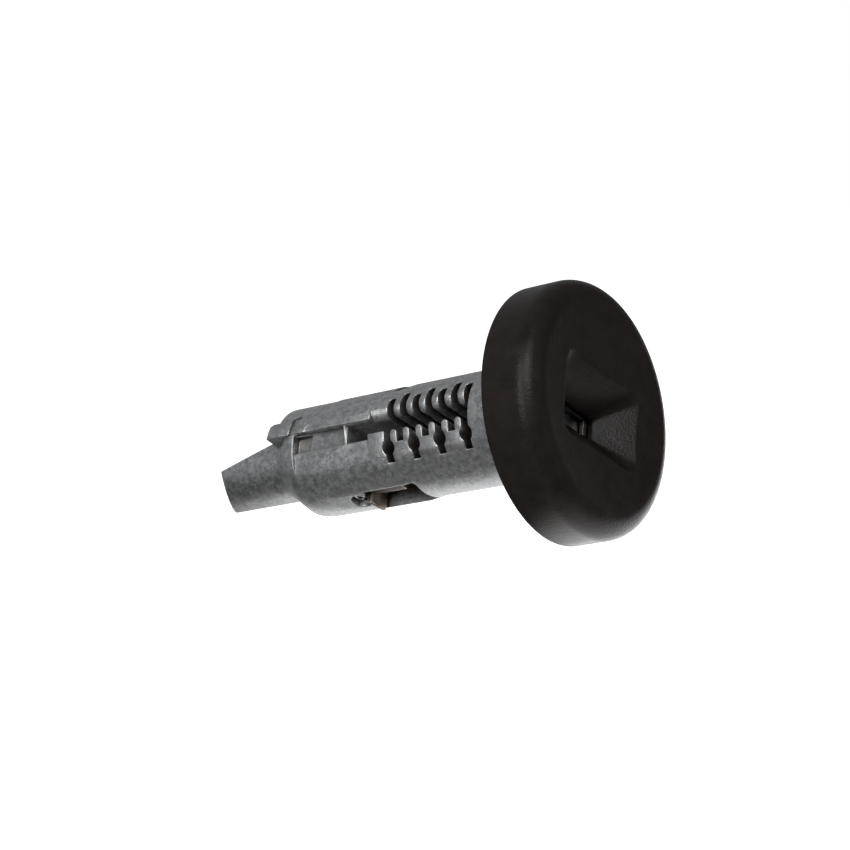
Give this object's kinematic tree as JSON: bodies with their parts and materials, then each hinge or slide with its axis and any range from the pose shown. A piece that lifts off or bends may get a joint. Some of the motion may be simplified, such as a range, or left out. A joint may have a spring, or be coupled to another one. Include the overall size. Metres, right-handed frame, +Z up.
{
  "type": "ignition lock cylinder",
  "caption": "Die-cast steering-column lock plug with a round black key cap, sprung brass retaining bar, sidebar, key shutter and a flattened drive tail.",
  "frame": {"origin": "on the lock's axis, in the plane where the cap seats on the body", "axes": "+X along the lock's axis towards the cap; -Y towards the side with the tumbler slots; +Z up as the lock lies in view, with the sloped top of the drive tail upwards"},
  "size_m": [0.0711, 0.038, 0.038],
  "materials": {
    "zinc_casting": "as die-cast zinc, mottled satin grey",
    "cap_plastic": "satin black, finely grained",
    "spring_steel": "bright drawn wire and strip",
    "pressed_steel": "plain pressed sheet",
    "bar_brass": "dull, as stamped"
  },
  "bodies": {
    "lock": {"lock_body": "zinc_casting", "face_cap": "cap_plastic", "cap_clip": "spring_steel", "shutter_housing": "pressed_steel", "shutter_pin": "spring_steel", "shutter_spring": "spring_steel", "retainer_spring": "spring_steel", "sidebar_spring_front": "spring_steel", "sidebar_spring_rear": "spring_steel"},
    "shutter": {"shutter_door": "pressed_steel"},
    "retainer": {"retaining_bar": "bar_brass"},
    "locking_bar": {"sidebar": "bar_brass"}
  },
  "joints": [
    {"name": "shutter_hinge", "type": "hinge", "parent": "lock", "child": "shutter", "pos_m": [0.0001, 0.00094, 0.00148], "axis": [0, 0.8434, -0.5373], "range_deg": [0, 80], "stiffness_Nm_per_rad": 0.002, "springref_deg": -34.38, "deforming": ["shutter_spring"]},
    {"name": "retainer_slide", "type": "slide", "parent": "lock", "child": "retainer", "axis": [0, 0.5373, 0.8434], "range_m": [0, 0.0014], "stiffness_N_per_m": 800, "springref_m": -0.002, "deforming": ["retainer_spring"]},
    {"name": "sidebar_slide", "type": "slide", "parent": "lock", "child": "locking_bar", "axis": [0, -0.5373, -0.8434], "range_m": [0, 0.0009], "stiffness_N_per_m": 500, "springref_m": -0.002, "deforming": ["sidebar_spring_front", "sidebar_spring_rear"]}
  ]
}
